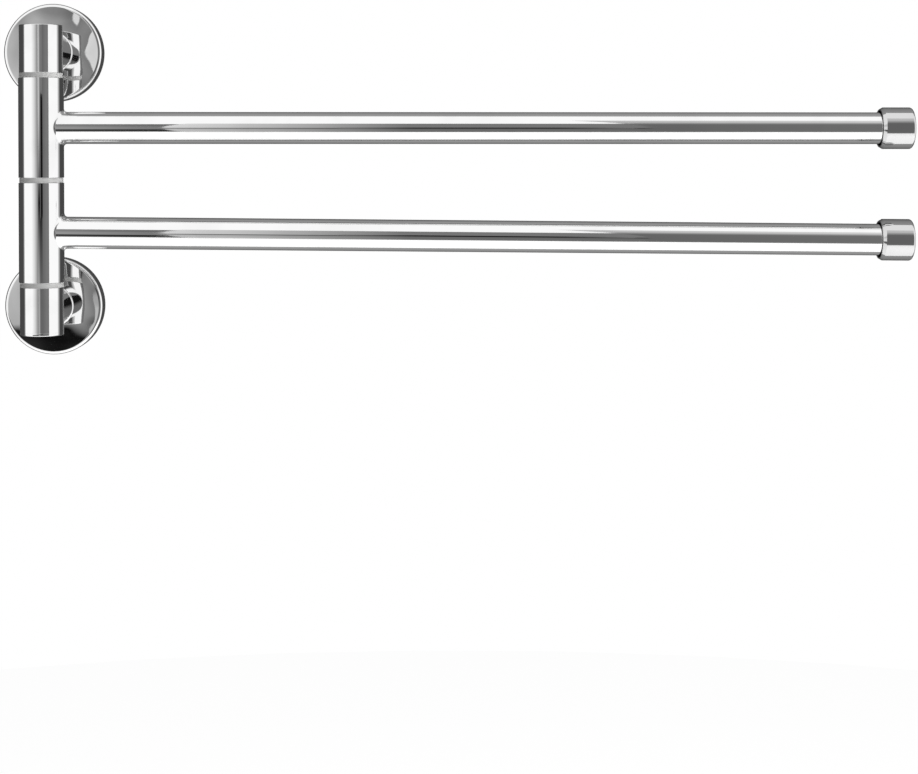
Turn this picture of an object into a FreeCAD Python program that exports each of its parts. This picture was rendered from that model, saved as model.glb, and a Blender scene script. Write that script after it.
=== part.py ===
import FreeCAD, Part

import math
import os

# Swing arm towel bar for a wall. A vertical post stands off the wall on two round flanges, and two bars,
# one above the other, swing about it.
#
# Frame: the wall is the plane y = 0 and the room is on its -Y side. +Z is up, and the bars at rest point
# along +X. The origin is on the wall, straight behind the middle of the post. Lengths are millimetres.

Vector = FreeCAD.Vector

# ---------------------------------------------------------------- Driving dimensions

# Post: two fixed knuckles at its ends, two turning sleeves between them, and three spacer bushes
post_standoff = 40.0  # from the wall to the post's axis
post_bore_radius = 9.6  # inside of the knuckles and of the sleeves
sleeve_wall = 1.5
sleeve_length = 49.4
knuckle_wall = 1.1
knuckle_length = 23.8  # with its end cap or plug
knuckle_end_thickness = 1.5  # of the cap and of the plug's flange
knuckle_edge_radius = 0.4  # rounding of the post's two ends
ring_thickness = 2.4  # of each bush's ring, which shows between the tubes
spigot_length = 5.0  # of each bush, into the tube on either side

# Clamping parts inside the knuckles
spindle_radius = 4.0
spindle_tip = 1.0  # how far the spindle stands past its nut
spindle_slot_width = 1.2
spindle_slot_depth = 1.5
upper_boss_thickness = 8.0
nut_across_flats = 13.0
nut_thickness = 4.0
flat_washer_thickness = 1.4
spring_washer_thickness = 1.8
spring_washer_width = 2.4  # of its ring, measured along a radius
spring_washer_split = 1.5
plug_spigot_length = 1.5  # of the lower knuckle's plug

# Standoff legs
leg_inset = 0.7  # how much slimmer a leg is than the knuckle it meets, on each side
leg_wall = 1.5
leg_weld_radius = 0.5

# Wall flanges
cover_radius = 25.0
cover_depth = 10.0  # from the wall to the edge of the domed face
cover_dome_rise = 0.4
cover_wall = 2.0
cover_edge_radius = 1.6
plate_thickness = 2.0
plate_rim_wall = 1.6
wall_screw_spacing = 28.0  # between the two holes of a plate
wall_screw_hole_radius = 2.5
set_screw_radius = 2.0
set_screw_length = 4.0
set_screw_point = 0.8  # length of its conical point
set_screw_socket_flats = 2.0
set_screw_socket_depth = 1.6

# Arms
arm_reach = 436.0  # from the post's axis to the tip of the end cap
bar_radius = 7.95
bar_wall = 1.2
bar_weld_radius = 1.8
lower_bar_droop = 0.55  # degrees that the lower bar hangs below square with the post
cap_length = 17.0
cap_gap = 0.9  # open ring between the bar and the mouth of its cap
cap_wall = 1.6
cap_base_thickness = 2.0
cap_dome_rise = 0.8
cap_edge_radius = 1.2
cap_bevel_length = 1.6
cap_bevel_depth = 0.9
end_plug_head_thickness = 2.5
end_plug_length = 14.0  # the part inside the bar
end_plug_rib_count = 4
end_plug_rib_height = 0.5

# Clearances
running_clearance = 0.05  # radial, between a bush's spigot and a tube that turns on it
axial_play = 0.1  # at each end of a sleeve
seat_clearance = 0.03  # radial, between pieces that are pressed, screwed or welded together
spindle_clearance = 0.1  # radial, between the spindle and what it passes through
plate_clearance = 0.3  # radial, between a cover and its wall plate
plate_headroom = 1.0  # between a wall plate's rim and the inside of the cover's face
wall_clearance = 0.2  # between the wall and a cover's edge
spigot_headroom = 0.3  # between a bush's spigot and the boss inside the knuckle
nut_headroom = 0.5  # between the spindle's end and the lower plug
washer_clearance = 1.6  # radial, between a washer and the knuckle's bore
tip_hole_clearance = 0.3  # radial, round the point of a set screw in the plate's rim

# ---------------------------------------------------------------- Sizes that follow from them

knuckle_radius = post_bore_radius + knuckle_wall
sleeve_radius = post_bore_radius + sleeve_wall
seated_radius = post_bore_radius - seat_clearance
washer_radius = post_bore_radius - washer_clearance

sleeve_start = ring_thickness / 2 + axial_play
sleeve_middle = sleeve_start + sleeve_length / 2
outer_ring_start = sleeve_start + sleeve_length + axial_play
knuckle_start = outer_ring_start + ring_thickness
knuckle_tube_length = knuckle_length - knuckle_end_thickness
post_half_height = knuckle_start + knuckle_length
flange_height = knuckle_start + knuckle_length / 2

boss_start = knuckle_start + spigot_length + spigot_headroom
spindle_bottom = post_half_height - knuckle_end_thickness - plug_spigot_length - nut_headroom
nut_start = spindle_bottom - spindle_tip - nut_thickness
spring_washer_start = nut_start - spring_washer_thickness
flat_washer_start = spring_washer_start - flat_washer_thickness

inside_of_cover_face = cover_depth - cover_wall  # at the dome's edge
leg_radius = knuckle_radius - leg_inset
plate_radius = cover_radius - cover_wall - plate_clearance
plate_depth = inside_of_cover_face - plate_headroom
set_screw_distance = (plate_thickness + plate_depth) / 2

cap_bore_radius = bar_radius + cap_gap
cap_radius = cap_bore_radius + cap_wall
cap_shoulder = arm_reach - cap_dome_rise
bar_end = cap_shoulder - cap_base_thickness - end_plug_head_thickness

UP = Vector(0, 0, 1)
DOWN = Vector(0, 0, -1)
FROM_WALL = Vector(0, -1, 0)

# ---------------------------------------------------------------- Basic shapes


def on_post(height):
    """The point of the post's axis at a height."""
    return Vector(0, -post_standoff, height)


def tube(outer_radius, inner_radius, start, direction, length):
    """A straight tube from start, along direction."""
    outside = Part.makeCylinder(outer_radius, length, start, direction)
    bore = Part.makeCylinder(inner_radius, length, start, direction)
    return outside.cut(bore)


def hexagon_bar(across_flats, start, direction, length):
    """A six-sided bar from start, along direction."""
    corner_radius = across_flats / 2 / math.cos(math.pi / 6)
    corners = []
    for step in range(7):
        angle = step * math.pi / 3
        corners.append(Vector(0, corner_radius * math.cos(angle), corner_radius * math.sin(angle)))
    outline = Part.Face(Part.makePolygon(corners))
    bar = outline.extrude(Vector(length, 0, 0))
    bar.Placement = FreeCAD.Placement(start, FreeCAD.Rotation(Vector(1, 0, 0), direction))
    return bar


def line(start, end):
    """A profile's straight edge. Profile points are (distance along the axis, radius)."""
    return Part.LineSegment(Vector(*start, 0), Vector(*end, 0)).toShape()


def arc(start, middle, end):
    """A profile's round edge through three points."""
    return Part.Arc(Vector(*start, 0), Vector(*middle, 0), Vector(*end, 0)).toShape()


def polyline(points):
    """A profile's straight edges through a row of points."""
    return [line(start, end) for start, end in zip(points, points[1:])]


def turned(edges, start, direction):
    """A closed profile turned about the axis that leaves start along direction."""
    face = Part.Face(Part.Wire(edges))
    solid = face.revolve(Vector(0, 0, 0), Vector(1, 0, 0), 360)
    solid.Placement = FreeCAD.Placement(start, FreeCAD.Rotation(Vector(1, 0, 0), direction))
    return solid


def rounded_corner(corner, radius):
    """The arc that rounds the outer end edge of a turned piece whose sharp corner is given."""
    along, out = corner
    reach = radius * (1 - math.sqrt(0.5))
    return arc((along - radius, out), (along - reach, out - reach), (along, out - radius))


def dome_height(radius, rise, distance):
    """Height of a dome over its edge, at a distance from its axis."""
    ball_radius = (radius**2 + rise**2) / (2 * rise)
    return math.sqrt(ball_radius**2 - distance**2) - (ball_radius - rise)


def dome(along, radius, rise):
    """The shallow arc from a face's edge, at the given distance and radius, up to its centre."""
    half_way = radius / 2
    middle = (along + dome_height(radius, rise, half_way), half_way)
    return arc((along, radius), middle, (along + rise, 0))


def only_solid(shape):
    """The one solid that a cut or a join leaves."""
    if len(shape.Solids) != 1:
        raise ValueError(f"expected one solid, found {len(shape.Solids)}")
    return shape.Solids[0]


# ---------------------------------------------------------------- Wall flanges


def wall_plate(height):
    """Pressed dish that is screwed to the wall, with a rim that carries the cover."""
    edges = polyline([
        (0, 0),
        (0, plate_radius),
        (plate_depth, plate_radius),
        (plate_depth, plate_radius - plate_rim_wall),
        (plate_thickness, plate_radius - plate_rim_wall),
        (plate_thickness, 0),
        (0, 0),
    ])
    plate = turned(edges, Vector(0, 0, height), FROM_WALL)
    for side in (-1, 1):
        hole_start = Vector(side * wall_screw_spacing / 2, 0, height)
        hole = Part.makeCylinder(wall_screw_hole_radius, plate_thickness, hole_start, FROM_WALL)
        plate = plate.cut(hole)
    tip_hole_start = Vector(0, -set_screw_distance, height - plate_radius - plate_clearance)
    tip_hole_length = plate_rim_wall + 2 * plate_clearance
    tip_hole_radius = set_screw_radius + tip_hole_clearance
    tip_hole = Part.makeCylinder(tip_hole_radius, tip_hole_length, tip_hole_start, UP)
    return only_solid(plate.cut(tip_hole))


def cover_shell(height):
    """Round cover with a rounded rim and a slightly domed face, open towards the wall."""
    face_radius = cover_radius - cover_edge_radius
    inner_radius = cover_radius - cover_wall
    edges = [
        line((wall_clearance, inner_radius), (wall_clearance, cover_radius)),
        line((wall_clearance, cover_radius), (cover_depth - cover_edge_radius, cover_radius)),
        rounded_corner((cover_depth, cover_radius), cover_edge_radius),
        dome(cover_depth, face_radius, cover_dome_rise),
        line((cover_depth + cover_dome_rise, 0), (inside_of_cover_face + cover_dome_rise, 0)),
        dome(inside_of_cover_face, inner_radius, cover_dome_rise),
        line((inside_of_cover_face, inner_radius), (wall_clearance, inner_radius)),
    ]
    return turned(edges, Vector(0, 0, height), FROM_WALL)


def flange_cover(height):
    """The cover with the threaded hole for its set screw, underneath."""
    hole_start = Vector(0, -set_screw_distance, height - cover_radius - cover_wall)
    hole = Part.makeCylinder(set_screw_radius + seat_clearance, 3 * cover_wall, hole_start, UP)
    return only_solid(cover_shell(height).cut(hole))


def set_screw(height):
    """Headless screw with a hexagon socket. Its point enters the hole in the wall plate's rim."""
    point_radius = set_screw_radius - set_screw_point / 2
    edges = polyline([
        (0, 0),
        (0, set_screw_radius),
        (set_screw_length - set_screw_point, set_screw_radius),
        (set_screw_length, point_radius),
        (set_screw_length, 0),
        (0, 0),
    ])
    start = Vector(0, -set_screw_distance, height - plate_radius + plate_rim_wall - set_screw_length)
    screw = turned(edges, start, UP)
    socket = hexagon_bar(set_screw_socket_flats, start, UP, set_screw_socket_depth)
    return only_solid(screw.cut(socket))


def standoff_leg(height):
    """Tube from the cover to the post, with a weld round its foot and an end cut to the knuckle's curve."""
    face_radius = cover_radius - cover_edge_radius
    bore_radius = leg_radius - leg_wall
    weld_edge = leg_radius + leg_weld_radius
    feet = []
    for distance in (bore_radius, leg_radius, weld_edge):
        feet.append((cover_depth + dome_height(face_radius, cover_dome_rise, distance), distance))
    weld_foot = feet[-1][0]
    weld_top = (weld_foot + leg_weld_radius, leg_radius)
    reach = leg_weld_radius * (1 - math.sqrt(0.5))
    edges = [
        arc(*feet),
        arc(feet[-1], (weld_foot + reach, leg_radius + reach), weld_top),
    ]
    edges += polyline([
        weld_top,
        (post_standoff, leg_radius),
        (post_standoff, bore_radius),
        feet[0],
    ])
    leg = turned(edges, Vector(0, 0, height), FROM_WALL)
    knuckle = Part.makeCylinder(knuckle_radius, 2 * knuckle_length, on_post(height - knuckle_length), UP)
    return only_solid(leg.cut(knuckle))


# ---------------------------------------------------------------- Post


def knuckle(side):
    """Fixed end tube of the post. side is 1 at the top and -1 at the bottom."""
    direction = UP * side
    return tube(
        knuckle_radius, post_bore_radius, on_post(side * knuckle_start), direction, knuckle_tube_length
    )


def knuckle_end_edges(spigot):
    """Profile of a disc that closes a knuckle, with a spigot that reaches into its bore."""
    edges = [
        line((0, knuckle_radius), (knuckle_end_thickness - knuckle_edge_radius, knuckle_radius)),
        rounded_corner((knuckle_end_thickness, knuckle_radius), knuckle_edge_radius),
    ]
    edges += polyline([
        (knuckle_end_thickness, knuckle_radius - knuckle_edge_radius),
        (knuckle_end_thickness, 0),
        (-spigot, 0),
        (-spigot, seated_radius),
        (0, seated_radius),
        (0, knuckle_radius),
    ])
    return edges


def knuckle_end(side):
    """The upper knuckle's welded cap, or the lower knuckle's push-in plug."""
    end = on_post(side * (post_half_height - knuckle_end_thickness))
    return turned(knuckle_end_edges(plug_spigot_length), end, UP * side)


def upper_knuckle_boss():
    """Disc in the upper knuckle, threaded for the spindle."""
    bore_radius = spindle_radius + seat_clearance
    return tube(seated_radius, bore_radius, on_post(boss_start), UP, upper_boss_thickness)


def lower_knuckle_boss():
    """Disc in the lower knuckle that the nut pulls against."""
    bore_radius = spindle_radius + spindle_clearance
    return tube(seated_radius, bore_radius, on_post(-boss_start), DOWN, flat_washer_start - boss_start)


def spacer_bush(height):
    """Bush with a ring that parts two tubes and a spigot that fits inside each of them."""
    spigot_radius = post_bore_radius - running_clearance
    bore_radius = spindle_radius + spindle_clearance
    ring_half = ring_thickness / 2
    end = ring_half + spigot_length
    edges = polyline([
        (-end, bore_radius),
        (-end, spigot_radius),
        (-ring_half, spigot_radius),
        (-ring_half, knuckle_radius),
        (ring_half, knuckle_radius),
        (ring_half, spigot_radius),
        (end, spigot_radius),
        (end, bore_radius),
        (-end, bore_radius),
    ])
    return turned(edges, on_post(height), UP)


def spindle():
    """Rod through the post, with a screwdriver slot in its lower end."""
    top = boss_start + upper_boss_thickness
    rod = Part.makeCylinder(spindle_radius, top + spindle_bottom, on_post(-spindle_bottom), UP)
    slot_corner = on_post(-spindle_bottom) - Vector(spindle_radius, spindle_slot_width / 2, 0)
    slot = Part.makeBox(2 * spindle_radius, spindle_slot_width, spindle_slot_depth, slot_corner)
    return only_solid(rod.cut(slot))


def spindle_flat_washer():
    """Plain washer under the lower boss."""
    bore_radius = spindle_radius + spindle_clearance
    start = on_post(-flat_washer_start)
    return tube(washer_radius, bore_radius, start, DOWN, flat_washer_thickness)


def spindle_spring_washer():
    """Split ring that keeps the nut tight, pressed flat."""
    bore_radius = spindle_radius + spindle_clearance
    start = on_post(-spring_washer_start)
    ring = tube(bore_radius + spring_washer_width, bore_radius, start, DOWN, spring_washer_thickness)
    split_corner = start + Vector(0, -spring_washer_split / 2, -spring_washer_thickness)
    split = Part.makeBox(2 * washer_radius, spring_washer_split, spring_washer_thickness, split_corner)
    return only_solid(ring.cut(split))


def spindle_nut():
    """Hexagon nut on the spindle's lower end."""
    start = on_post(-nut_start)
    bore = Part.makeCylinder(spindle_radius + seat_clearance, nut_thickness, start, DOWN)
    return hexagon_bar(nut_across_flats, start, DOWN, nut_thickness).cut(bore)


# ---------------------------------------------------------------- Arms, side is 1 above and -1 below


def bar_direction(side):
    """The upper bar is square with the post, and the lower bar hangs a little."""
    droop = math.radians(lower_bar_droop) if side < 0 else 0.0
    return Vector(math.cos(droop), 0, -math.sin(droop))


def arm_sleeve(side):
    """Tube that turns on the bushes' spigots and carries a bar."""
    return tube(sleeve_radius, post_bore_radius, on_post(side * sleeve_start), UP * side, sleeve_length)


def arm_bar(side):
    """Bar tube, cut to the sleeve's curve, with the smooth weld that joins them."""
    axis_start = on_post(side * sleeve_middle)
    direction = bar_direction(side)
    post = Part.makeCylinder(sleeve_radius, sleeve_length, on_post(side * sleeve_start), UP * side)
    joined = post.fuse(Part.makeCylinder(bar_radius, bar_end, axis_start, direction))
    seams = [edge for edge in joined.Edges if not isinstance(edge.Curve, (Part.Line, Part.Circle))]
    weld_radius = min(bar_weld_radius, 0.6 * (sleeve_radius - bar_radius))
    welded = joined.makeFillet(weld_radius, seams)
    bore = Part.makeCylinder(bar_radius - bar_wall, bar_end, axis_start, direction)
    return only_solid(welded.cut(post).cut(bore))


def arm_end_plug(side):
    """Ribbed plug in the bar's end. The end cap is pressed on its head."""
    bar_bore_radius = bar_radius - bar_wall
    rib_radius = bar_bore_radius - seat_clearance
    core_radius = rib_radius - end_plug_rib_height
    rib_pitch = end_plug_length / end_plug_rib_count
    points = [
        (end_plug_head_thickness, 0),
        (end_plug_head_thickness, cap_bore_radius - seat_clearance),
        (0, cap_bore_radius - seat_clearance),
        (0, core_radius),
    ]
    for rib in range(end_plug_rib_count):
        rib_start = -rib * rib_pitch - rib_pitch / 2
        points.append((rib_start, core_radius))
        points.append((rib_start, rib_radius))
        points.append((-(rib + 1) * rib_pitch, core_radius))
    points.append((-end_plug_length, 0))
    points.append((end_plug_head_thickness, 0))
    direction = bar_direction(side)
    return turned(polyline(points), on_post(side * sleeve_middle) + direction * bar_end, direction)


def arm_end_cap(side):
    """Polished cup over the bar's end, with a bevelled mouth and a slightly domed end."""
    base = cap_shoulder - cap_base_thickness
    mouth = arm_reach - cap_length
    face_radius = cap_radius - cap_edge_radius
    edges = polyline([
        (base, 0),
        (base, cap_bore_radius),
        (mouth, cap_bore_radius),
        (mouth, cap_radius - cap_bevel_depth),
        (mouth + cap_bevel_length, cap_radius),
        (cap_shoulder - cap_edge_radius, cap_radius),
    ])
    edges.append(rounded_corner((cap_shoulder, cap_radius), cap_edge_radius))
    edges.append(dome(cap_shoulder, face_radius, cap_dome_rise))
    edges.append(line((arm_reach, 0), (base, 0)))
    return turned(edges, on_post(side * sleeve_middle), bar_direction(side))


# ---------------------------------------------------------------- Assembly

pieces = {}
for place, side in (("upper", 1), ("lower", -1)):
    pieces[place + "_wall_plate"] = wall_plate(side * flange_height)
    pieces[place + "_flange_cover"] = flange_cover(side * flange_height)
    pieces[place + "_set_screw"] = set_screw(side * flange_height)
    pieces[place + "_standoff_leg"] = standoff_leg(side * flange_height)
    pieces[place + "_knuckle"] = knuckle(side)
    pieces[place + "_spacer_bush"] = spacer_bush(side * (outer_ring_start + ring_thickness / 2))
    pieces[place + "_arm_sleeve"] = arm_sleeve(side)
    pieces[place + "_arm_bar"] = arm_bar(side)
    pieces[place + "_arm_end_plug"] = arm_end_plug(side)
    pieces[place + "_arm_end_cap"] = arm_end_cap(side)
pieces["upper_knuckle_cap"] = knuckle_end(1)
pieces["lower_knuckle_plug"] = knuckle_end(-1)
pieces["upper_knuckle_boss"] = upper_knuckle_boss()
pieces["lower_knuckle_boss"] = lower_knuckle_boss()
pieces["middle_spacer_bush"] = spacer_bush(0)
pieces["spindle"] = spindle()
pieces["spindle_flat_washer"] = spindle_flat_washer()
pieces["spindle_spring_washer"] = spindle_spring_washer()
pieces["spindle_nut"] = spindle_nut()

os.makedirs("parts", exist_ok=True)
for name, shape in pieces.items():
    if not shape.isValid():
        raise ValueError(name + " is not a valid solid")
    shape.exportStep("parts/" + name + ".step")
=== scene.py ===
import math

import bmesh
import bpy
from mathutils import Matrix, Vector


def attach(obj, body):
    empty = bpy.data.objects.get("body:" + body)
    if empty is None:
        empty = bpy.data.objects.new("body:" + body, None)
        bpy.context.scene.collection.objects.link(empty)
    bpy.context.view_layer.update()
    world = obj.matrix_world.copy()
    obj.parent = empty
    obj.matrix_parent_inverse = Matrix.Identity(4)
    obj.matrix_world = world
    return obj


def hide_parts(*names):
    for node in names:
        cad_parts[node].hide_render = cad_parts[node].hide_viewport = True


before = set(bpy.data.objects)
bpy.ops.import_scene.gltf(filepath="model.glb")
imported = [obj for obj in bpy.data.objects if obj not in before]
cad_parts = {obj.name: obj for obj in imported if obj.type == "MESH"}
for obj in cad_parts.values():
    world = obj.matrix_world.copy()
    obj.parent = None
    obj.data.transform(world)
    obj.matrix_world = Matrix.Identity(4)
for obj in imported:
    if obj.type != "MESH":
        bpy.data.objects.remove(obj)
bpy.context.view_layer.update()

MM = 0.001

# ---------------------------------------------------------------- Wall plates
# Pressed dishes of galvanised sheet that are screwed to the wall, with a rim that the covers push over.
# They are only seen from behind, where the zinc's crystals show.


def link(tree, source, target):
    """Joins one node's output to another's input."""
    tree.links.new(source, target)


def add_node(tree, kind, settings=None, values=None):
    """Adds a node, with its settings and the values of its inputs."""
    node = tree.nodes.new(kind)
    for key, value in (settings or {}).items():
        setattr(node, key, value)
    for key, value in (values or {}).items():
        node.inputs[key].default_value = value
    return node


def new_group(name, inputs, outputs):
    """An empty shader node group with named number or vector inputs and outputs."""
    group = bpy.data.node_groups.new(name, "ShaderNodeTree")
    for label, kind, value in inputs:
        socket = group.interface.new_socket(name=label, in_out="INPUT", socket_type=kind)
        socket.default_value = value
    for label, kind in outputs:
        group.interface.new_socket(name=label, in_out="OUTPUT", socket_type=kind)
    entry = group.nodes.new("NodeGroupInput")
    leave = group.nodes.new("NodeGroupOutput")
    return group, entry, leave


def make_surface_marks():
    """Marks that any metal surface carries: polishing lines, hand smudges, fine scratches and slow waves."""
    number, vector = "NodeSocketFloat", "NodeSocketVector"
    group, entry, leave = new_group(
        "surface_marks",
        [
            ("Grain Stretch", vector, (1.0, 1.0, 1.0)),
            ("Grain Scale", number, 900.0),
            ("Grain Depth", number, 0.0),
            ("Wave Scale", number, 30.0),
            ("Wave Depth", number, 0.0),
            ("Smudge Scale", number, 70.0),
            ("Clean Roughness", number, 0.03),
            ("Smudged Roughness", number, 0.08),
        ],
        [("Roughness", number), ("Height", number), ("Smudge", number), ("Scratch", number)],
    )
    place = add_node(group, "ShaderNodeTexCoord")
    stretched = add_node(group, "ShaderNodeVectorMath", {"operation": "MULTIPLY"})
    link(group, place.outputs["Object"], stretched.inputs[0])
    link(group, entry.outputs["Grain Stretch"], stretched.inputs[1])

    grain = add_node(group, "ShaderNodeTexNoise", values={"Detail": 3.0, "Roughness": 0.6})
    link(group, stretched.outputs[0], grain.inputs["Vector"])
    link(group, entry.outputs["Grain Scale"], grain.inputs["Scale"])

    wave = add_node(group, "ShaderNodeTexNoise", values={"Detail": 1.0, "Roughness": 0.35})
    link(group, place.outputs["Object"], wave.inputs["Vector"])
    link(group, entry.outputs["Wave Scale"], wave.inputs["Scale"])

    smudge = add_node(group, "ShaderNodeTexNoise", values={"Detail": 4.0, "Distortion": 0.6})
    link(group, place.outputs["Object"], smudge.inputs["Vector"])
    link(group, entry.outputs["Smudge Scale"], smudge.inputs["Scale"])
    smudge_mask = add_node(
        group, "ShaderNodeMapRange",
        {"interpolation_type": "SMOOTHSTEP"}, {"From Min": 0.48, "From Max": 0.72},
    )
    link(group, smudge.outputs["Fac"], smudge_mask.inputs["Value"])

    scratch_cells = add_node(
        group, "ShaderNodeTexVoronoi", {"feature": "DISTANCE_TO_EDGE"}, {"Scale": 150.0, "Randomness": 1.0}
    )
    link(group, stretched.outputs[0], scratch_cells.inputs["Vector"])
    scratch = add_node(
        group, "ShaderNodeMapRange", values={"From Min": 0.0, "From Max": 0.012, "To Min": 1.0, "To Max": 0.0}
    )
    link(group, scratch_cells.outputs["Distance"], scratch.inputs["Value"])
    thin_out = add_node(group, "ShaderNodeMath", {"operation": "MULTIPLY"})
    link(group, scratch.outputs["Result"], thin_out.inputs[0])
    link(group, smudge_mask.outputs["Result"], thin_out.inputs[1])

    gloss = add_node(group, "ShaderNodeMapRange")
    link(group, smudge_mask.outputs["Result"], gloss.inputs["Value"])
    link(group, entry.outputs["Clean Roughness"], gloss.inputs["To Min"])
    link(group, entry.outputs["Smudged Roughness"], gloss.inputs["To Max"])
    scratch_gloss = add_node(group, "ShaderNodeMath", {"operation": "MULTIPLY_ADD"}, {1: 0.05})
    link(group, thin_out.outputs[0], scratch_gloss.inputs[0])
    link(group, gloss.outputs["Result"], scratch_gloss.inputs[2])

    grain_height = add_node(group, "ShaderNodeMath", {"operation": "MULTIPLY"})
    link(group, grain.outputs["Fac"], grain_height.inputs[0])
    link(group, entry.outputs["Grain Depth"], grain_height.inputs[1])
    height = add_node(group, "ShaderNodeMath", {"operation": "MULTIPLY_ADD"})
    link(group, wave.outputs["Fac"], height.inputs[0])
    link(group, entry.outputs["Wave Depth"], height.inputs[1])
    link(group, grain_height.outputs[0], height.inputs[2])

    link(group, scratch_gloss.outputs[0], leave.inputs["Roughness"])
    link(group, height.outputs[0], leave.inputs["Height"])
    link(group, smudge_mask.outputs["Result"], leave.inputs["Smudge"])
    link(group, thin_out.outputs[0], leave.inputs["Scratch"])
    return group


surface_marks = make_surface_marks()


def new_material(name, metallic=0.0):
    """An empty material with one Principled shader. Returns the material, its nodes and the shader."""
    material = bpy.data.materials.new(name)
    material.use_nodes = True
    tree = material.node_tree
    shader = tree.nodes["Principled BSDF"]
    shader.inputs["Metallic"].default_value = metallic
    return material, tree, shader


def mark_surface(tree, shader, settings):
    """Puts the surface marks into a material: its roughness and its bump."""
    marks = add_node(tree, "ShaderNodeGroup", {"node_tree": surface_marks}, settings)
    bump = add_node(tree, "ShaderNodeBump", values={"Strength": 1.0, "Distance": 1.0})
    link(tree, marks.outputs["Roughness"], shader.inputs["Roughness"])
    link(tree, marks.outputs["Height"], bump.inputs["Height"])
    link(tree, bump.outputs["Normal"], shader.inputs["Normal"])
    return marks


def blend_colors(tree, mask, first, second, target):
    """Mixes two colours by a mask, into a colour input."""
    mix = add_node(tree, "ShaderNodeMix", {"data_type": "RGBA"})
    mix.inputs["A"].default_value = (*first, 1.0)
    mix.inputs["B"].default_value = (*second, 1.0)
    link(tree, mask, mix.inputs["Factor"])
    link(tree, mix.outputs["Result"], target)


def make_galvanised_sheet():
    """Zinc-dipped sheet: crystals of slightly different grey, dulled where it was handled."""
    material, tree, shader = new_material("galvanised_sheet", metallic=1.0)
    place = add_node(tree, "ShaderNodeTexCoord")
    crystals = add_node(tree, "ShaderNodeTexVoronoi", values={"Scale": 260.0, "Randomness": 1.0})
    link(tree, place.outputs["Object"], crystals.inputs["Vector"])
    tone = add_node(tree, "ShaderNodeSeparateColor")
    link(tree, crystals.outputs["Color"], tone.inputs["Color"])
    blend_colors(
        tree, tone.outputs["Red"], (0.50, 0.52, 0.54), (0.66, 0.68, 0.70), shader.inputs["Base Color"]
    )
    mark_surface(tree, shader, {
        "Grain Scale": 2200.0, "Grain Depth": 0.000002, "Wave Depth": 0.00002, "Wave Scale": 60.0,
        "Clean Roughness": 0.30, "Smudged Roughness": 0.48, "Smudge Scale": 120.0,
    })
    return material


def finish_nodes(material, *names):
    """Gives CAD nodes that stay as they are their finished material."""
    for name in names:
        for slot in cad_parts[name].material_slots:
            slot.material = material


finish_nodes(make_galvanised_sheet(), "upper_wall_plate", "lower_wall_plate")

# ---------------------------------------------------------------- Flange covers
# Round covers of stainless steel, deep drawn and mirror polished. The face is slightly domed and its edge
# rounded. Each is pushed over its wall plate and held by a set screw through the hole underneath.

COVER_RADIUS = 25.0 * MM
COVER_INNER_RADIUS = 23.0 * MM
COVER_EDGE_RADIUS = 1.6 * MM
COVER_SHOULDER = 2.0 * MM  # how far in from the rim the face starts to turn down
COVER_SHOULDER_STEPS = 14
COVER_BACK = 0.2 * MM
COVER_DEPTH = 10.0 * MM
COVER_WALL = 2.0 * MM
COVER_DOME_RISE = 0.4 * MM
COVER_LIP_RADIUS = 0.25 * MM
COVER_SIDES = 192
COVER_INSIDE_STEPS = 8
COVER_FACE_STEPS = 12
FLANGE_HEIGHT = 65.1 * MM
SET_SCREW_HOLE_RADIUS = 2.05 * MM
SET_SCREW_DISTANCE = 4.5 * MM
SET_SCREW_HOLE_SIDES = 32
CUTTER_REACH = 4.0 * MM

QUARTER_TURN = math.radians(90)
SAME_PLACE = 0.01 * MM  # two drawn points closer than this count as one height or radius
MERGE_DISTANCE = 0.0005 * MM
LARGE_ROUNDING = 0.5 * MM  # above this a rounded corner gets more steps

TO_ROOM = Matrix.Rotation(QUARTER_TURN, 4, "X")  # turns +Z of a drawn piece to -Y, away from the wall


def clear_selection():
    """Leaves edit mode and deselects every object."""
    if bpy.context.object and bpy.context.object.mode == "EDIT":
        bpy.ops.object.mode_set(mode="OBJECT")
    bpy.ops.object.select_all(action="DESELECT")


def pick_ring(piece, radius, height):
    """Selects, in edit mode, the edges of one drawn ring."""
    mesh = bmesh.from_edit_mesh(piece.data)
    bpy.ops.mesh.select_all(action="DESELECT")
    for edge in mesh.edges:
        on_ring = all(
            abs(vert.co.xy.length - radius) < SAME_PLACE and abs(vert.co.z - height) < SAME_PLACE
            for vert in edge.verts
        )
        edge.select_set(on_ring)
    bmesh.update_edit_mesh(piece.data)


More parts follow.
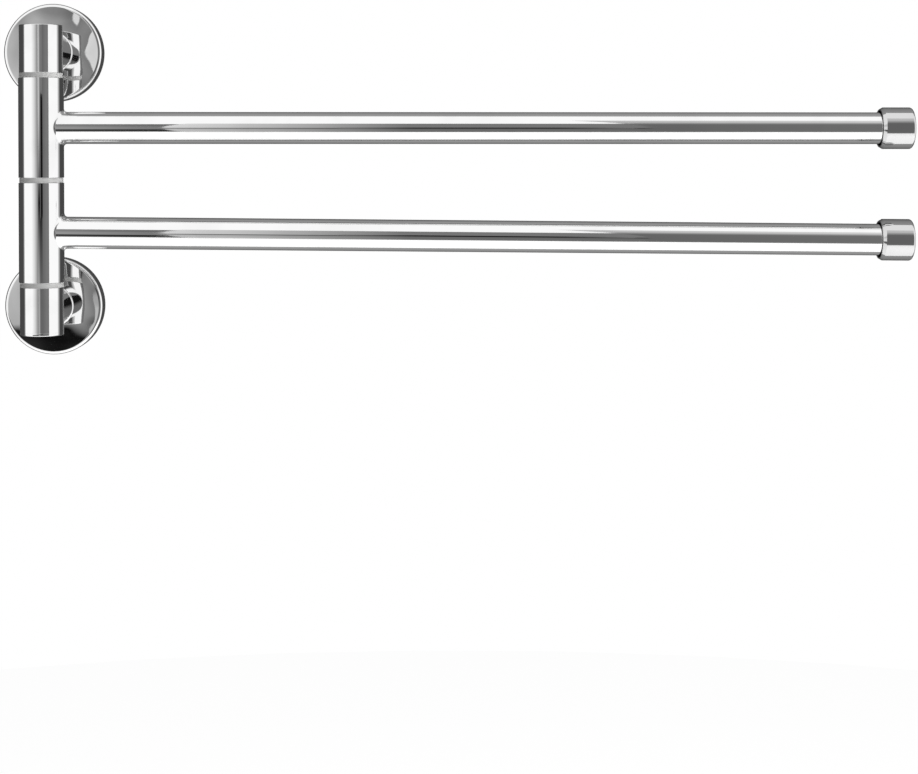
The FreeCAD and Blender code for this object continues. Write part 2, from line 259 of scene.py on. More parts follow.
def turn_piece(name, outline, sides):
    """A lathe-turned piece about Z: rings are drawn one after another through the outline's points.

    An outline point is (radius, height) or (radius, height, rounding of that corner). Radius 0 closes
    the piece at its axis, and an outline whose ends aren't on the axis closes on itself.
    """
    clear_selection()
    corners = [point for point in outline if len(point) > 2]
    closed = outline[0][0] > 0 and outline[-1][0] > 0
    rings = [point[:2] for point in outline if point[0] > 0]
    if closed:
        rings.append(rings[0])
    radius, height = rings[0]
    bpy.ops.mesh.primitive_circle_add(vertices=sides, radius=radius, location=(0, 0, height))
    piece = bpy.context.object
    piece.name = name
    bpy.ops.object.transform_apply(location=True, rotation=True, scale=True)
    bpy.ops.object.mode_set(mode="EDIT")
    bpy.ops.mesh.select_mode(type="EDGE")
    bpy.ops.mesh.select_all(action="SELECT")
    if outline[0][0] == 0:
        rise = outline[0][1] - height
        bpy.ops.mesh.extrude_region_move(TRANSFORM_OT_translate={"value": (0, 0, rise)})
        bpy.ops.mesh.merge(type="CENTER")
        pick_ring(piece, radius, height)
    for next_radius, next_height in rings[1:]:
        bpy.ops.mesh.extrude_region_move(TRANSFORM_OT_translate={"value": (0, 0, next_height - height)})
        factor = next_radius / radius
        bpy.ops.transform.resize(value=(factor, factor, 1), center_override=(0, 0, next_height))
        radius, height = next_radius, next_height
    if outline[-1][0] == 0:
        rise = outline[-1][1] - height
        bpy.ops.mesh.extrude_region_move(TRANSFORM_OT_translate={"value": (0, 0, rise)})
        bpy.ops.mesh.merge(type="CENTER")
    bpy.ops.mesh.select_all(action="SELECT")
    bpy.ops.mesh.remove_doubles(threshold=MERGE_DISTANCE)
    bpy.ops.mesh.normals_make_consistent(inside=False)
    for corner_radius, corner_height, rounding in corners:
        pick_ring(piece, corner_radius, corner_height)
        steps = 8 if rounding > LARGE_ROUNDING else 4
        bpy.ops.mesh.bevel(offset=rounding, segments=steps, affect="EDGES")
    bpy.ops.object.mode_set(mode="OBJECT")
    return piece


def set_piece(piece, place):
    """Moves a drawn piece to its place by changing its mesh, so its object stays at the origin."""
    clear_selection()
    piece.data.transform(place)
    piece.data.update()


def smooth_piece(piece, angle=32.0):
    """Shades a piece smooth, with true creases, and lets its large faces set the shading."""
    clear_selection()
    piece.select_set(True)
    bpy.context.view_layer.objects.active = piece
    bpy.ops.object.shade_smooth_by_angle(angle=math.radians(angle))
    bpy.ops.object.modifier_add(type="WEIGHTED_NORMAL")
    piece.modifiers[-1].keep_sharp = True
    bpy.ops.object.modifier_apply(modifier=piece.modifiers[-1].name)


def copy_piece(piece, name):
    """A second piece with its own mesh."""
    twin = piece.copy()
    twin.data = piece.data.copy()
    twin.name = name
    bpy.context.scene.collection.objects.link(twin)
    return twin


def put_on(piece, material, slot, body, *nodes):
    """Finishes a piece: its material, the body it rides on, the nodes it stands for. slot is not used."""
    piece.data.materials.clear()
    piece.data.materials.append(material)
    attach(piece, body)
    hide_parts(*nodes)


def dome_height(radius, edge_radius, rise):
    """How far a shallow dome stands above its edge, at a distance from its centre."""
    ball = (edge_radius**2 + rise**2) / (2 * rise)
    return math.sqrt(ball**2 - radius**2) - (ball - rise)


def dome_rings(edge_radius, edge_height, rise, count, inwards=True):
    """Outline points over a shallow dome, from its edge to its centre or the other way."""
    points = []
    for step in range(1, count):
        radius = edge_radius * (1 - step / count)
        points.append((radius, edge_height + dome_height(radius, edge_radius, rise)))
    points.append((0, edge_height + rise))
    return points if inwards else points[::-1]


def make_mirror_steel(name, color, settings):
    """Mirror-polished stainless steel with faint polishing lines, smudges and scratches."""
    material, tree, shader = new_material(name, metallic=1.0)
    values = {
        "Grain Stretch": (1.0, 1.0, 0.06), "Grain Scale": 1400.0, "Grain Depth": 0.0000003,
        "Wave Scale": 32.0, "Wave Depth": 0.000008, "Smudge Scale": 55.0,
        "Clean Roughness": 0.028, "Smudged Roughness": 0.055,
    }
    values.update(settings)
    marks = mark_surface(tree, shader, values)
    dulled = tuple(value * 0.95 for value in color)
    blend_colors(tree, marks.outputs["Smudge"], color, dulled, shader.inputs["Base Color"])
    return material


STEEL = (0.955, 0.955, 0.955)
cover_steel = make_mirror_steel("mirror_steel_cover", STEEL, {
    "Wave Scale": 42.0, "Wave Depth": 0.0009, "Grain Stretch": (1.0, 1.0, 1.0),
})


def make_cover(name):
    """One cover as turned, with the hole for its set screw bored through the rim."""
    inside = COVER_DEPTH - COVER_WALL
    outline = dome_rings(COVER_INNER_RADIUS, inside, COVER_DOME_RISE, COVER_INSIDE_STEPS, inwards=False)
    outline += [
        (COVER_INNER_RADIUS, inside),
        (COVER_INNER_RADIUS, COVER_BACK),
        (COVER_RADIUS, COVER_BACK, COVER_LIP_RADIUS),
    ]
    for step in range(COVER_SHOULDER_STEPS):
        angle = QUARTER_TURN * step / COVER_SHOULDER_STEPS
        outline.append((
            COVER_RADIUS - COVER_SHOULDER * (1 - math.cos(angle)),
            COVER_DEPTH - COVER_EDGE_RADIUS * (1 - math.sin(angle)),
        ))
    face_radius = COVER_RADIUS - COVER_SHOULDER
    outline.append((face_radius, COVER_DEPTH))
    outline += dome_rings(face_radius, COVER_DEPTH, COVER_DOME_RISE, COVER_FACE_STEPS)
    cover = turn_piece(name, outline, COVER_SIDES)
    cutter = turn_piece("hole_cutter", [
        (0, -CUTTER_REACH),
        (SET_SCREW_HOLE_RADIUS, -CUTTER_REACH),
        (SET_SCREW_HOLE_RADIUS, CUTTER_REACH),
        (0, CUTTER_REACH),
    ], SET_SCREW_HOLE_SIDES)
    set_piece(cutter, Matrix.Translation((0, -COVER_RADIUS, SET_SCREW_DISTANCE)) @ TO_ROOM)
    clear_selection()
    bpy.context.view_layer.objects.active = cover
    bore = cover.modifiers.new("bore", "BOOLEAN")
    bore.operation = "DIFFERENCE"
    bore.solver = "EXACT"
    bore.object = cutter
    bpy.ops.object.modifier_apply(modifier=bore.name)
    bpy.data.objects.remove(cutter, do_unlink=True)
    return cover


flange_cover = make_cover("polished_flange_cover_upper")
lower_flange_cover = copy_piece(flange_cover, "polished_flange_cover_lower")
for cover, side, node in (
    (flange_cover, 1, "upper_flange_cover"),
    (lower_flange_cover, -1, "lower_flange_cover"),
):
    set_piece(cover, Matrix.Translation((0, 0, side * FLANGE_HEIGHT)) @ TO_ROOM)
    smooth_piece(cover)
    put_on(cover, cover_steel, "polished_steel", "wall_bracket", node)

# ---------------------------------------------------------------- Set screws, spindle and its fasteners
# Zinc-plated steel: the two hexagon-socket set screws under the covers, and the rod, bosses, washers and
# nut that clamp the post together. All but the set screws are inside the tubes.


def make_zinc_plate():
    """Bright zinc plate with the faint blue and straw tints of its passivation."""
    material, tree, shader = new_material("zinc_plate", metallic=1.0)
    marks = mark_surface(tree, shader, {
        "Grain Scale": 3000.0, "Grain Depth": 0.000001, "Wave Depth": 0.000004, "Wave Scale": 200.0,
        "Clean Roughness": 0.20, "Smudged Roughness": 0.34, "Smudge Scale": 350.0,
    })
    blend_colors(
        tree, marks.outputs["Smudge"], (0.60, 0.63, 0.67), (0.66, 0.62, 0.52), shader.inputs["Base Color"]
    )
    return material


finish_nodes(
    make_zinc_plate(), "upper_set_screw", "lower_set_screw", "spindle", "spindle_flat_washer",
    "spindle_spring_washer", "spindle_nut", "upper_knuckle_boss", "lower_knuckle_boss",
)

# ---------------------------------------------------------------- Standoff legs
# Short stainless tubes between the covers and the post, a little slimmer than the knuckle they meet. The
# foot has a smooth polished weld on the cover, and the other end is cut to the knuckle's curve.

POST_STANDOFF = 40.0 * MM
KNUCKLE_RADIUS = 10.7 * MM
LEG_RADIUS = 10.0 * MM
LEG_BORE_RADIUS = 8.5 * MM
LEG_WELD_RADIUS = 0.5 * MM
LEG_SINK = 0.35 * MM  # how far the hidden ends enter the pieces they are welded to
LEG_SIDES = 160
WELD_STEPS = 10


def cover_face_height(radius):
    """Distance of the cover's domed face from the wall, at a distance from its centre."""
    return COVER_DEPTH + dome_height(radius, COVER_RADIUS - COVER_SHOULDER, COVER_DOME_RISE)


def make_leg(name):
    """One leg as turned, before its end is cut to the knuckle's curve."""
    foot = cover_face_height(LEG_RADIUS + LEG_WELD_RADIUS)
    outline = [(LEG_BORE_RADIUS, foot - LEG_SINK), (LEG_RADIUS + LEG_WELD_RADIUS, foot - LEG_SINK)]
    for step in range(WELD_STEPS + 1):
        angle = QUARTER_TURN * step / WELD_STEPS
        outline.append((
            LEG_RADIUS + LEG_WELD_RADIUS * (1 - math.sin(angle)),
            foot + LEG_WELD_RADIUS * (1 - math.cos(angle)),
        ))
    outline += [(LEG_RADIUS, POST_STANDOFF), (LEG_BORE_RADIUS, POST_STANDOFF)]
    return turn_piece(name, outline, LEG_SIDES)


def fit_to_knuckle(leg):
    """Moves the leg's outer end back to the curve of the knuckle, and a little into its wall."""
    for vert in leg.data.vertices:
        if abs(vert.co.z - POST_STANDOFF) < SAME_PLACE:
            depth = math.sqrt(KNUCKLE_RADIUS**2 - vert.co.x**2)
            vert.co.z = POST_STANDOFF - depth + LEG_SINK * depth / KNUCKLE_RADIUS
    leg.data.update()


post_steel = make_mirror_steel("mirror_steel_post", STEEL, {})
upper_leg = make_leg("standoff_leg_upper")
fit_to_knuckle(upper_leg)
lower_leg = copy_piece(upper_leg, "standoff_leg_lower")
for leg, side, node in ((upper_leg, 1, "upper_standoff_leg"), (lower_leg, -1, "lower_standoff_leg")):
    set_piece(leg, Matrix.Translation((0, 0, side * FLANGE_HEIGHT)) @ TO_ROOM)
    smooth_piece(leg)
    put_on(leg, post_steel, "polished_steel", "wall_bracket", node)

# ---------------------------------------------------------------- Knuckles and their ends
# The post's two fixed end tubes. The upper one is closed by a disc welded on and polished flush, the lower
# one by a plug that is pushed in after the spindle's nut is tightened.

POST_BORE_RADIUS = 9.6 * MM
KNUCKLE_START = 53.2 * MM
KNUCKLE_TUBE_LENGTH = 22.3 * MM
KNUCKLE_END_THICKNESS = 1.5 * MM
KNUCKLE_EDGE_RADIUS = 0.4 * MM
PLUG_SPIGOT_LENGTH = 1.5 * MM
PLUG_SLACK = 0.03 * MM
PLUG_SEAM = 0.08 * MM
TUBE_EDGE_RADIUS = 0.15 * MM
POST_SIDES = 160

UPSIDE_DOWN = Matrix.Rotation(math.radians(180), 4, "X")


def on_post(height, side=1):
    """Puts a piece drawn about Z on the post's axis, upright or hanging."""
    place = Matrix.Translation((0, -POST_STANDOFF, height))
    return place if side > 0 else place @ UPSIDE_DOWN


def make_knuckle(name):
    """Fixed end tube. Its inner end, at the spacer ring, has a broken edge."""
    return turn_piece(name, [
        (POST_BORE_RADIUS, 0),
        (KNUCKLE_RADIUS, 0, TUBE_EDGE_RADIUS),
        (KNUCKLE_RADIUS, KNUCKLE_TUBE_LENGTH),
        (POST_BORE_RADIUS, KNUCKLE_TUBE_LENGTH),
    ], POST_SIDES)


def make_knuckle_end(name, seam):
    """Disc that closes a knuckle, with a spigot in its bore. seam breaks the edge next to the tube."""
    spigot_radius = POST_BORE_RADIUS - PLUG_SLACK
    return turn_piece(name, [
        (0, -PLUG_SPIGOT_LENGTH),
        (spigot_radius, -PLUG_SPIGOT_LENGTH),
        (spigot_radius, 0),
        (KNUCKLE_RADIUS, 0, seam) if seam else (KNUCKLE_RADIUS, 0),
        (KNUCKLE_RADIUS, KNUCKLE_END_THICKNESS, KNUCKLE_EDGE_RADIUS),
        (KNUCKLE_RADIUS * 0.6, KNUCKLE_END_THICKNESS),
        (KNUCKLE_RADIUS * 0.2, KNUCKLE_END_THICKNESS),
        (0, KNUCKLE_END_THICKNESS),
    ], POST_SIDES)


for side, tube_node, end_node, seam in (
    (1, "upper_knuckle", "upper_knuckle_cap", 0),
    (-1, "lower_knuckle", "lower_knuckle_plug", PLUG_SEAM),
):
    knuckle = make_knuckle("post_" + tube_node)
    set_piece(knuckle, on_post(side * KNUCKLE_START, side))
    knuckle_end = make_knuckle_end("post_" + end_node, seam)
    set_piece(knuckle_end, on_post(side * (KNUCKLE_START + KNUCKLE_TUBE_LENGTH), side))
    for piece, node in ((knuckle, tube_node), (knuckle_end, end_node)):
        smooth_piece(piece)
        put_on(piece, post_steel, "polished_steel", "wall_bracket", node)

# ---------------------------------------------------------------- Spacer bushes
# Turned white nylon. A ring shows between two tubes of the post, and a spigot on each side of it enters
# the tubes and is the bearing that the arms swing on.

RING_RADIUS = KNUCKLE_RADIUS
RING_HALF = 1.2 * MM
RING_EDGE_RADIUS = 0.25 * MM
SPIGOT_RADIUS = 9.55 * MM
SPIGOT_LENGTH = 5.0 * MM
BUSH_BORE_RADIUS = 4.1 * MM
OUTER_RING_HEIGHT = 52.0 * MM


def make_nylon():
    """Milky nylon with fine turning lines and a little light under its surface."""
    material, tree, shader = new_material("white_nylon_satin")
    place = add_node(tree, "ShaderNodeTexCoord")
    cloud = add_node(tree, "ShaderNodeTexNoise", values={"Scale": 90.0, "Detail": 3.0})
    link(tree, place.outputs["Object"], cloud.inputs["Vector"])
    blend_colors(
        tree, cloud.outputs["Fac"], (0.80, 0.80, 0.79), (0.88, 0.88, 0.87), shader.inputs["Base Color"]
    )
    mark_surface(tree, shader, {
        "Grain Stretch": (0.1, 0.1, 1.0), "Grain Scale": 4000.0, "Grain Depth": 0.000003,
        "Wave Depth": 0.0, "Clean Roughness": 0.32, "Smudged Roughness": 0.42,
    })
    shader.inputs["Subsurface Weight"].default_value = 0.25
    shader.inputs["Subsurface Radius"].default_value = (1.0, 1.0, 1.0)
    shader.inputs["Subsurface Scale"].default_value = 0.0012
    return material


nylon = make_nylon()
for height, node in (
    (OUTER_RING_HEIGHT, "upper_spacer_bush"),
    (0, "middle_spacer_bush"),
    (-OUTER_RING_HEIGHT, "lower_spacer_bush"),
):
    end = RING_HALF + SPIGOT_LENGTH
    bush = turn_piece("nylon_" + node, [
        (BUSH_BORE_RADIUS, -end),
        (SPIGOT_RADIUS, -end, RING_EDGE_RADIUS),
        (SPIGOT_RADIUS, -RING_HALF),
        (RING_RADIUS, -RING_HALF, RING_EDGE_RADIUS),
        (RING_RADIUS, RING_HALF, RING_EDGE_RADIUS),
        (SPIGOT_RADIUS, RING_HALF),
        (SPIGOT_RADIUS, end, RING_EDGE_RADIUS),
        (BUSH_BORE_RADIUS, end),
    ], POST_SIDES)
    set_piece(bush, on_post(height))
    smooth_piece(bush)
    put_on(bush, nylon, "white_nylon", "wall_bracket", node)

# ---------------------------------------------------------------- Arm sleeves
# The two turning tubes of the post, mirror polished, each with a bar welded to its side. They run on the
# bushes' spigots, and their ends have broken edges.

SLEEVE_RADIUS = 11.1 * MM
SLEEVE_START = 1.3 * MM
SLEEVE_LENGTH = 49.4 * MM
SLEEVE_MIDDLE = 26.0 * MM
SLEEVE_EDGE_RADIUS = 0.1 * MM

for side, body in ((1, "upper_arm"), (-1, "lower_arm")):
    sleeve = turn_piece("post_" + body + "_sleeve", [
        (POST_BORE_RADIUS, 0),
        (SLEEVE_RADIUS, 0, SLEEVE_EDGE_RADIUS),
        (SLEEVE_RADIUS, SLEEVE_LENGTH, SLEEVE_EDGE_RADIUS),
        (POST_BORE_RADIUS, SLEEVE_LENGTH),
    ], POST_SIDES)
    set_piece(sleeve, on_post(side * SLEEVE_START, side))
    smooth_piece(sleeve)
    put_on(sleeve, post_steel, "polished_steel", body, body + "_sleeve")

# ---------------------------------------------------------------- Arm bars
# Stainless tubes, cut to the sleeve's curve and welded on. The weld is ground hollow and polished with the
# tube. The lower bar hangs a little below square.

BAR_RADIUS = 7.95 * MM
BAR_BORE_RADIUS = 6.75 * MM
BAR_END = 430.7 * MM
BAR_WELD_RADIUS = 1.8 * MM
BAR_SIDES = 160
BAR_EDGE_RADIUS = 0.2 * MM
LOWER_BAR_DROOP = math.radians(0.55)
FOOT_RING_STEP = 0.1 * MM  # spacing of the rings that are drawn at the foot and then moved onto the weld
TO_SIDE = Matrix.Rotation(QUARTER_TURN, 4, "Y")  # turns +Z of a drawn piece to +X, along a bar


def weld_point(angle, share):
    """A point of the hollow weld: angle is round the bar, share runs from the sleeve to the bar.

    The weld is the path of a ball that touches both tubes. Coordinates are those of the drawn bar: Z is its
    axis, and X runs along the post once the bar is in place.
    """
    reach = SLEEVE_RADIUS + BAR_WELD_RADIUS
    out = BAR_RADIUS + BAR_WELD_RADIUS
    across, along_post = out * math.sin(angle), out * math.cos(angle)
    centre = Vector((along_post, across, math.sqrt(reach**2 - across**2)))
    shrink = SLEEVE_RADIUS / reach
    on_sleeve = Vector((along_post, across * shrink, centre.z * shrink)) - centre
    on_bar = Vector((BAR_RADIUS * math.cos(angle), BAR_RADIUS * math.sin(angle), centre.z)) - centre
    span = on_sleeve.angle(on_bar)
    offset = (math.sin((1 - share) * span) * on_sleeve + math.sin(share * span) * on_bar) / math.sin(span)
    return centre + offset


def make_bar(name):
    """One bar as drawn upright: bore, hidden foot in the sleeve's wall, weld rings, tube and open end."""
    foot_rings = [FOOT_RING_STEP * (step + 1) for step in range(WELD_STEPS + 1)]
    outline = [(BAR_BORE_RADIUS, 0), (BAR_RADIUS, 0)]
    outline += [(BAR_RADIUS, height) for height in foot_rings]
    outline += [(BAR_RADIUS, BAR_END, BAR_EDGE_RADIUS), (BAR_BORE_RADIUS, BAR_END, BAR_EDGE_RADIUS)]
    bar = turn_piece(name, outline, BAR_SIDES)
    for vert in bar.data.vertices:
        if vert.co.z > foot_rings[-1] + SAME_PLACE:
            continue
        angle = math.atan2(vert.co.y, vert.co.x)
        ring = round(vert.co.z / FOOT_RING_STEP)
        if ring > 0:
            vert.co = weld_point(angle, (ring - 1) / WELD_STEPS)
        else:
            outer = vert.co.xy.length > (BAR_RADIUS + BAR_BORE_RADIUS) / 2
            if outer:
                vert.co = weld_point(angle, 0)
            sunk = SLEEVE_RADIUS - LEG_SINK
            vert.co.y *= sunk / SLEEVE_RADIUS
            vert.co.z = math.sqrt(sunk**2 - vert.co.y**2)
    bar.data.update()
    return bar


bar_steel = make_mirror_steel("mirror_steel_bar", STEEL, {
    "Grain Stretch": (0.04, 1.0, 1.0), "Wave Scale": 14.0, "Wave Depth": 0.00001, "Smudge Scale": 30.0,
})


def on_arm(side, distance=0.0):
    """Puts a piece drawn about Z on a bar's axis, at a distance from the post's axis."""
    middle = Matrix.Translation((0, -POST_STANDOFF, side * SLEEVE_MIDDLE))
    droop = Matrix.Rotation(LOWER_BAR_DROOP if side < 0 else 0.0, 4, "Y")
    return middle @ droop @ Matrix.Translation((distance, 0, 0)) @ TO_SIDE


for side, body in ((1, "upper_arm"), (-1, "lower_arm")):
    bar = make_bar("towel_bar_" + body)
    set_piece(bar, on_arm(side))
    smooth_piece(bar)
    put_on(bar, bar_steel, "polished_steel", body, body + "_bar")

# ---------------------------------------------------------------- End plugs and end caps
# A ribbed plug of dark plastic is pushed into each bar's end, and a polished steel cup is pressed on its
# head. The cup's bevelled mouth stands clear of the bar and leaves a dark ring.


def make_dark_plastic():
    """Moulded dark grey plastic with a fine grain."""
    material, tree, shader = new_material("dark_moulded_plastic")
    marks = mark_surface(tree, shader, {
        "Grain Scale": 2500.0, "Grain Depth": 0.000006, "Wave Depth": 0.0,
        "Clean Roughness": 0.42, "Smudged Roughness": 0.55, "Smudge Scale": 200.0,
    })
    blend_colors(
        tree, marks.outputs["Smudge"],
        (0.030, 0.031, 0.033), (0.045, 0.045, 0.046), shader.inputs["Base Color"],
    )
    return material


finish_nodes(make_dark_plastic(), "upper_arm_end_plug", "lower_arm_end_plug")

CAP_RADIUS = 10.45 * MM
CAP_BORE_RADIUS = 8.85 * MM
CAP_MOUTH = 419.0 * MM
CAP_BASE = 433.2 * MM
CAP_SHOULDER = 435.2 * MM
CAP_EDGE_RADIUS = 1.2 * MM
CAP_BEVEL_LENGTH = 1.6 * MM
CAP_BEVEL_DEPTH = 0.9 * MM
CAP_DOME_RISE = 0.8 * MM
CAP_MOUTH_EDGE = 0.12 * MM
CAP_BASE_RING = 4.0 * MM
CAP_EDGE_DROP = 0.1 * MM
CAP_DOME_STEPS = 8

cap_steel = make_mirror_steel("mirror_steel_cap", (0.72, 0.72, 0.72), {
    "Grain Stretch": (1.0, 1.0, 1.0), "Wave Scale": 60.0, "Wave Depth": 0.000006,
    "Clean Roughness": 0.045, "Smudged Roughness": 0.08,
})


def make_cap(name):
    """One cap, drawn with the mouth at the bottom, from the inside round to the domed end."""
    length = CAP_SHOULDER - CAP_MOUTH
    base = CAP_BASE - CAP_MOUTH
    outline = [
        (0, base),
        (CAP_BASE_RING, base),
        (CAP_BORE_RADIUS, base),
        (CAP_BORE_RADIUS, 0, CAP_MOUTH_EDGE),
        (CAP_RADIUS - CAP_BEVEL_DEPTH, 0, CAP_MOUTH_EDGE),
        (CAP_RADIUS, CAP_BEVEL_LENGTH, CAP_MOUTH_EDGE),
        (CAP_RADIUS, length - CAP_EDGE_DROP, CAP_EDGE_RADIUS),
    ]
    outline += dome_rings(CAP_RADIUS - CAP_EDGE_RADIUS, length, CAP_DOME_RISE, CAP_DOME_STEPS)
    return turn_piece(name, outline, BAR_SIDES)


for side, body in ((1, "upper_arm"), (-1, "lower_arm")):
    cap = make_cap("bar_end_cap_" + body)
    set_piece(cap, on_arm(side, CAP_MOUTH))
    smooth_piece(cap)
    put_on(cap, cap_steel, "polished_steel", body, body + "_end_cap")

# ---------------------------------------------------------------- Floor, background and light
# A pale floor and a white surround. Grey cards, seen in reflections only, stand where a polished tube
# needs something darker than the surround: in front, round the camera, behind, to the sides, above and below.

scene = bpy.context.scene
scene.view_settings.view_transform = "Standard"


def seen_in_picture(tree):
    """1 for a ray that shows the background: straight from the camera, reflected or through glass."""
    path = add_node(tree, "ShaderNodeLightPath")
    first = add_node(tree, "ShaderNodeMath", {"operation": "MAXIMUM"})
    link(tree, path.outputs["Is Camera Ray"], first.inputs[0])
    link(tree, path.outputs["Is Glossy Ray"], first.inputs[1])
    second = add_node(tree, "ShaderNodeMath", {"operation": "MAXIMUM"})
    link(tree, first.outputs[0], second.inputs[0])
    link(tree, path.outputs["Is Transmission Ray"], second.inputs[1])
    return second.outputs[0]


WORLD_LIGHT = 0.20
world = bpy.data.worlds.new("white_surround")
world.use_nodes = True
scene.world = world
surround = world.node_tree.nodes["Background"]
surround.inputs["Color"].default_value = (1.0, 1.0, 1.0, 1.0)
level = add_node(world.node_tree, "ShaderNodeMapRange", values={"To Min": WORLD_LIGHT, "To Max": 1.0})
link(world.node_tree, seen_in_picture(world.node_tree), level.inputs["Value"])
link(world.node_tree, level.outputs["Result"], surround.inputs["Strength"])

FLOOR_HEIGHT = -1.1
FLOOR_RADIUS = 3.2
FLOOR_GLOW = 0.80
clear_selection()
bpy.ops.mesh.primitive_circle_add(vertices=64, radius=FLOOR_RADIUS, fill_type="NGON", location=(0.2, 0, 0))
floor = bpy.context.object
floor.name = "pale_floor"
bpy.ops.object.transform_apply(location=True, rotation=True, scale=True)
floor.data.transform(Matrix.Translation((0, 0, FLOOR_HEIGHT)))
floor_material = bpy.data.materials.new("pale_floor")
floor_material.use_nodes = True
tree = floor_material.node_tree
tree.nodes.clear()
matt = add_node(tree, "ShaderNodeBsdfDiffuse", values={"Color": (0.8, 0.8, 0.8, 1.0)})
glow = add_node(tree, "ShaderNodeEmission", values={"Color": (1.0, 1.0, 1.0, 1.0)})
glow_level = add_node(tree, "ShaderNodeMath", {"operation": "MULTIPLY"}, {1: FLOOR_GLOW})
link(tree, seen_in_picture(tree), glow_level.inputs[0])
link(tree, glow_level.outputs[0], glow.inputs["Strength"])
both = add_node(tree, "ShaderNodeAddShader")
link(tree, matt.outputs[0], both.inputs[0])
link(tree, glow.outputs[0], both.inputs[1])
link(tree, both.outputs[0], add_node(tree, "ShaderNodeOutputMaterial").inputs["Surface"])
floor.data.materials.append(floor_material)


def screen_level(value):
    """The light level of a grey as a picture shows it, 0 to 255."""
    share = value / 255
    return share / 12.92 if share <= 0.04045 else ((share + 0.055) / 1.055) ** 2.4


# The few tones that the cards are painted with, as a picture shows them, 0 to 255.
WHITE, BRIGHT, MIDDLE, DIM, DARK, BLACK = 255, 220, 160, 120, 70, 20
EVEN = ((0.0, WHITE), (1.0, WHITE))  # a row without a change


def grey_card(name, centre, width, height, turn, across=EVEN, upright=EVEN):
    """A flat card whose grey changes across its width and up its height. It is seen in reflections only.

    across and upright are rows of (share of the way, grey); the two are multiplied.
    """
    clear_selection()
    bpy.ops.mesh.primitive_grid_add(x_subdivisions=2, y_subdivisions=2, size=1.0)
    card = bpy.context.object
    card.name = name
    card.data.transform(Matrix.Translation(centre) @ turn @ Matrix.Diagonal((width, height, 1.0, 1.0)))
    material = bpy.data.materials.new(name)
    material.use_nodes = True
    tree = material.node_tree
    tree.nodes.clear()
    uv = add_node(tree, "ShaderNodeUVMap")
    parts = add_node(tree, "ShaderNodeSeparateXYZ")
    link(tree, uv.outputs["UV"], parts.inputs["Vector"])
    ramps = []
    for axis, row in (("X", across), ("Y", upright)):
        ramp = add_node(tree, "ShaderNodeValToRGB")
        ramp.color_ramp.interpolation = "LINEAR"
        stops = ramp.color_ramp.elements
        while len(stops) < len(row):
            stops.new(1.0)
        for stop, (share, grey) in zip(stops, row):
            stop.position = share
        for stop, (share, grey) in zip(stops, row):
            light = screen_level(grey)
            stop.color = (light, light, light, 1.0)
        link(tree, parts.outputs[axis], ramp.inputs["Fac"])
        ramps.append(ramp)
    product = add_node(
        tree, "ShaderNodeMix", {"data_type": "RGBA", "blend_type": "MULTIPLY"}, {"Factor": 1.0}
    )
    link(tree, ramps[0].outputs["Color"], product.inputs["A"])
    link(tree, ramps[1].outputs["Color"], product.inputs["B"])
    shine = add_node(tree, "ShaderNodeEmission")
    link(tree, product.outputs["Result"], shine.inputs["Color"])
    link(tree, shine.outputs[0], add_node(tree, "ShaderNodeOutputMaterial").inputs["Surface"])
    card.data.materials.append(material)
    card.visible_camera = False
    card.visible_diffuse = False
    card.visible_shadow = False


FACE_BACK = Matrix.Rotation(QUARTER_TURN, 4, "X")  # a card drawn flat stands up, X across and Z up

grey_card(
    "left_room_card", (-0.90, -2.0, 0.0), 1.40, 2.0, FACE_BACK,
    across=((0.0, WHITE), (0.5, BRIGHT), (1.0, DIM)),
    upright=((0.0, MIDDLE), (0.3, BLACK), (0.35, WHITE), (0.65, WHITE), (0.7, BRIGHT)),
)
grey_card(
    "middle_room_card", (0.175, -2.0, -0.2), 0.75, 2.8, FACE_BACK,
    across=((0.0, BRIGHT), (0.5, DIM)),
    upright=((0.0, WHITE), (0.5, BRIGHT), (0.55, BLACK), (0.6, WHITE)),
)
grey_card(
    "arm_end_card", (1.40, -2.0, 0.5), 1.70, 4.6, FACE_BACK,
    across=((0.0, BRIGHT), (0.5, WHITE)),
    upright=((0.0, WHITE), (0.2, DIM), (0.6, DIM), (0.8, BRIGHT)),
)
grey_card(
    "camera_card", (0.27, -1.25, 0.012), 0.34, 0.14, FACE_BACK,
    across=((0.0, DIM), (0.25, BLACK), (0.75, BLACK), (1.0, DIM)),
)

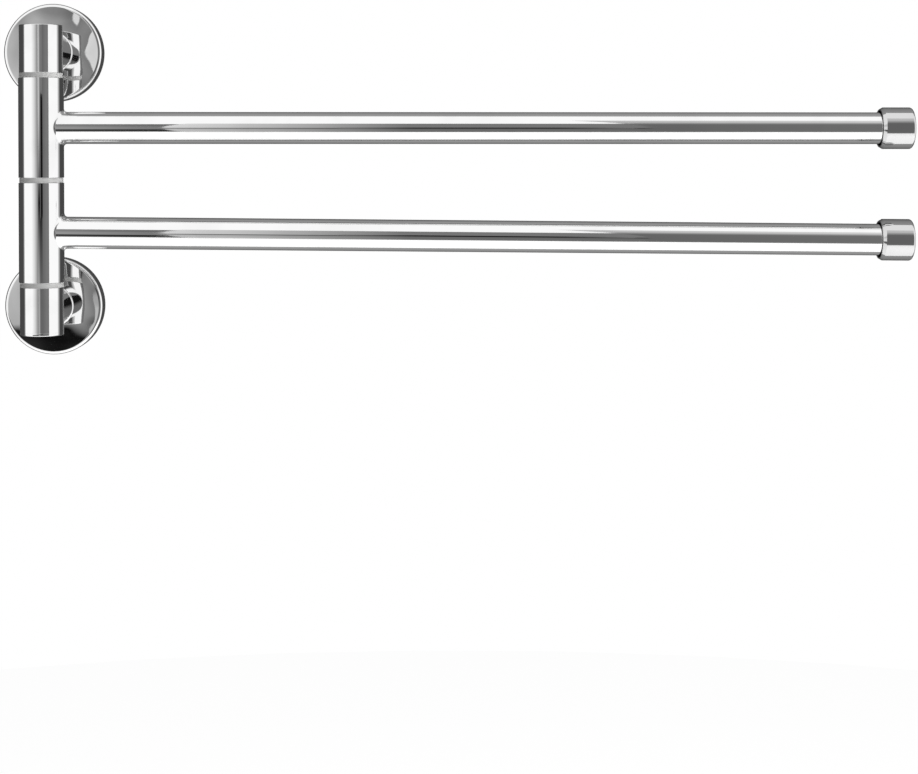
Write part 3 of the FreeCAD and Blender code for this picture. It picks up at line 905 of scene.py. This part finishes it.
SIDEWAYS = Matrix.Rotation(QUARTER_TURN, 4, "Z") @ FACE_BACK  # a standing card whose width runs along Y
grey_card("left_card", (-1.2, 1.0, 0.0), 2.3, 4.0, SIDEWAYS, across=((0.0, MIDDLE), (0.1, DARK)))
grey_card("right_card", (1.5, 1.6, 0.0), 2.6, 4.0, SIDEWAYS, across=((0.0, BRIGHT), (0.2, DARK)))
grey_card("back_card", (0.2, 2.2, 0.0), 3.4, 3.0, FACE_BACK, across=((0.0, DARK), (1.0, DARK)))
FLAT = Matrix.Identity(4)
for name, centre in (("top_card", (0.2, 1.1, 1.0)), ("low_card", (0.2, 1.2, -1.0))):
    grey_card(name, centre, 3.0, 2.2, FLAT, upright=((0.0, MIDDLE), (1.0, DARK)))


def soft_lamp(name, place, aim, size, power):
    """A square soft lamp that faces a point. The camera doesn't see it, and it isn't mirrored either."""
    data = bpy.data.lights.new(name, "AREA")
    data.size = size
    data.energy = power
    lamp = bpy.data.objects.new(name, data)
    scene.collection.objects.link(lamp)
    lamp.location = place
    lamp.rotation_euler = (Vector(aim) - Vector(place)).to_track_quat("-Z", "Y").to_euler()
    lamp.visible_camera = False
    lamp.visible_glossy = False


OBJECT_MIDDLE = (0.2, -0.04, 0.0)
soft_lamp("right_lamp", (1.7, -1.0, 0.5), OBJECT_MIDDLE, 1.4, 21.0)
soft_lamp("left_lamp", (-1.3, -1.2, 0.8), OBJECT_MIDDLE, 1.2, 1.5)

# The camera stands as in the photograph: roughly in front of the bars' middle, at the post's height and
# nearly level. The object is high in the picture although the post doesn't lean, so the lens is shifted down.
CAMERA_PLACE = (0.1846, -0.9721, 0.0123)
CAMERA_PITCH = -0.0188  # radians, as is the yaw
CAMERA_YAW = -0.0248
SENSOR_WIDTH = 36.0  # millimetres, as is the lens
LENS_LENGTH = 73.13
LENS_SHIFT = -0.2140  # share of the picture's width
CAMERA_REACH = 50.0
camera_data = bpy.data.cameras.new("camera")
camera_data.sensor_width = SENSOR_WIDTH
camera_data.lens = LENS_LENGTH
camera_data.shift_y = LENS_SHIFT
camera_data.clip_end = CAMERA_REACH
camera = bpy.data.objects.new("camera", camera_data)
scene.collection.objects.link(camera)
scene.camera = camera
turn = Matrix.Rotation(CAMERA_YAW, 3, "Z") @ Matrix.Rotation(QUARTER_TURN + CAMERA_PITCH, 3, "X")
camera.location = CAMERA_PLACE
camera.rotation_euler = turn.to_euler()
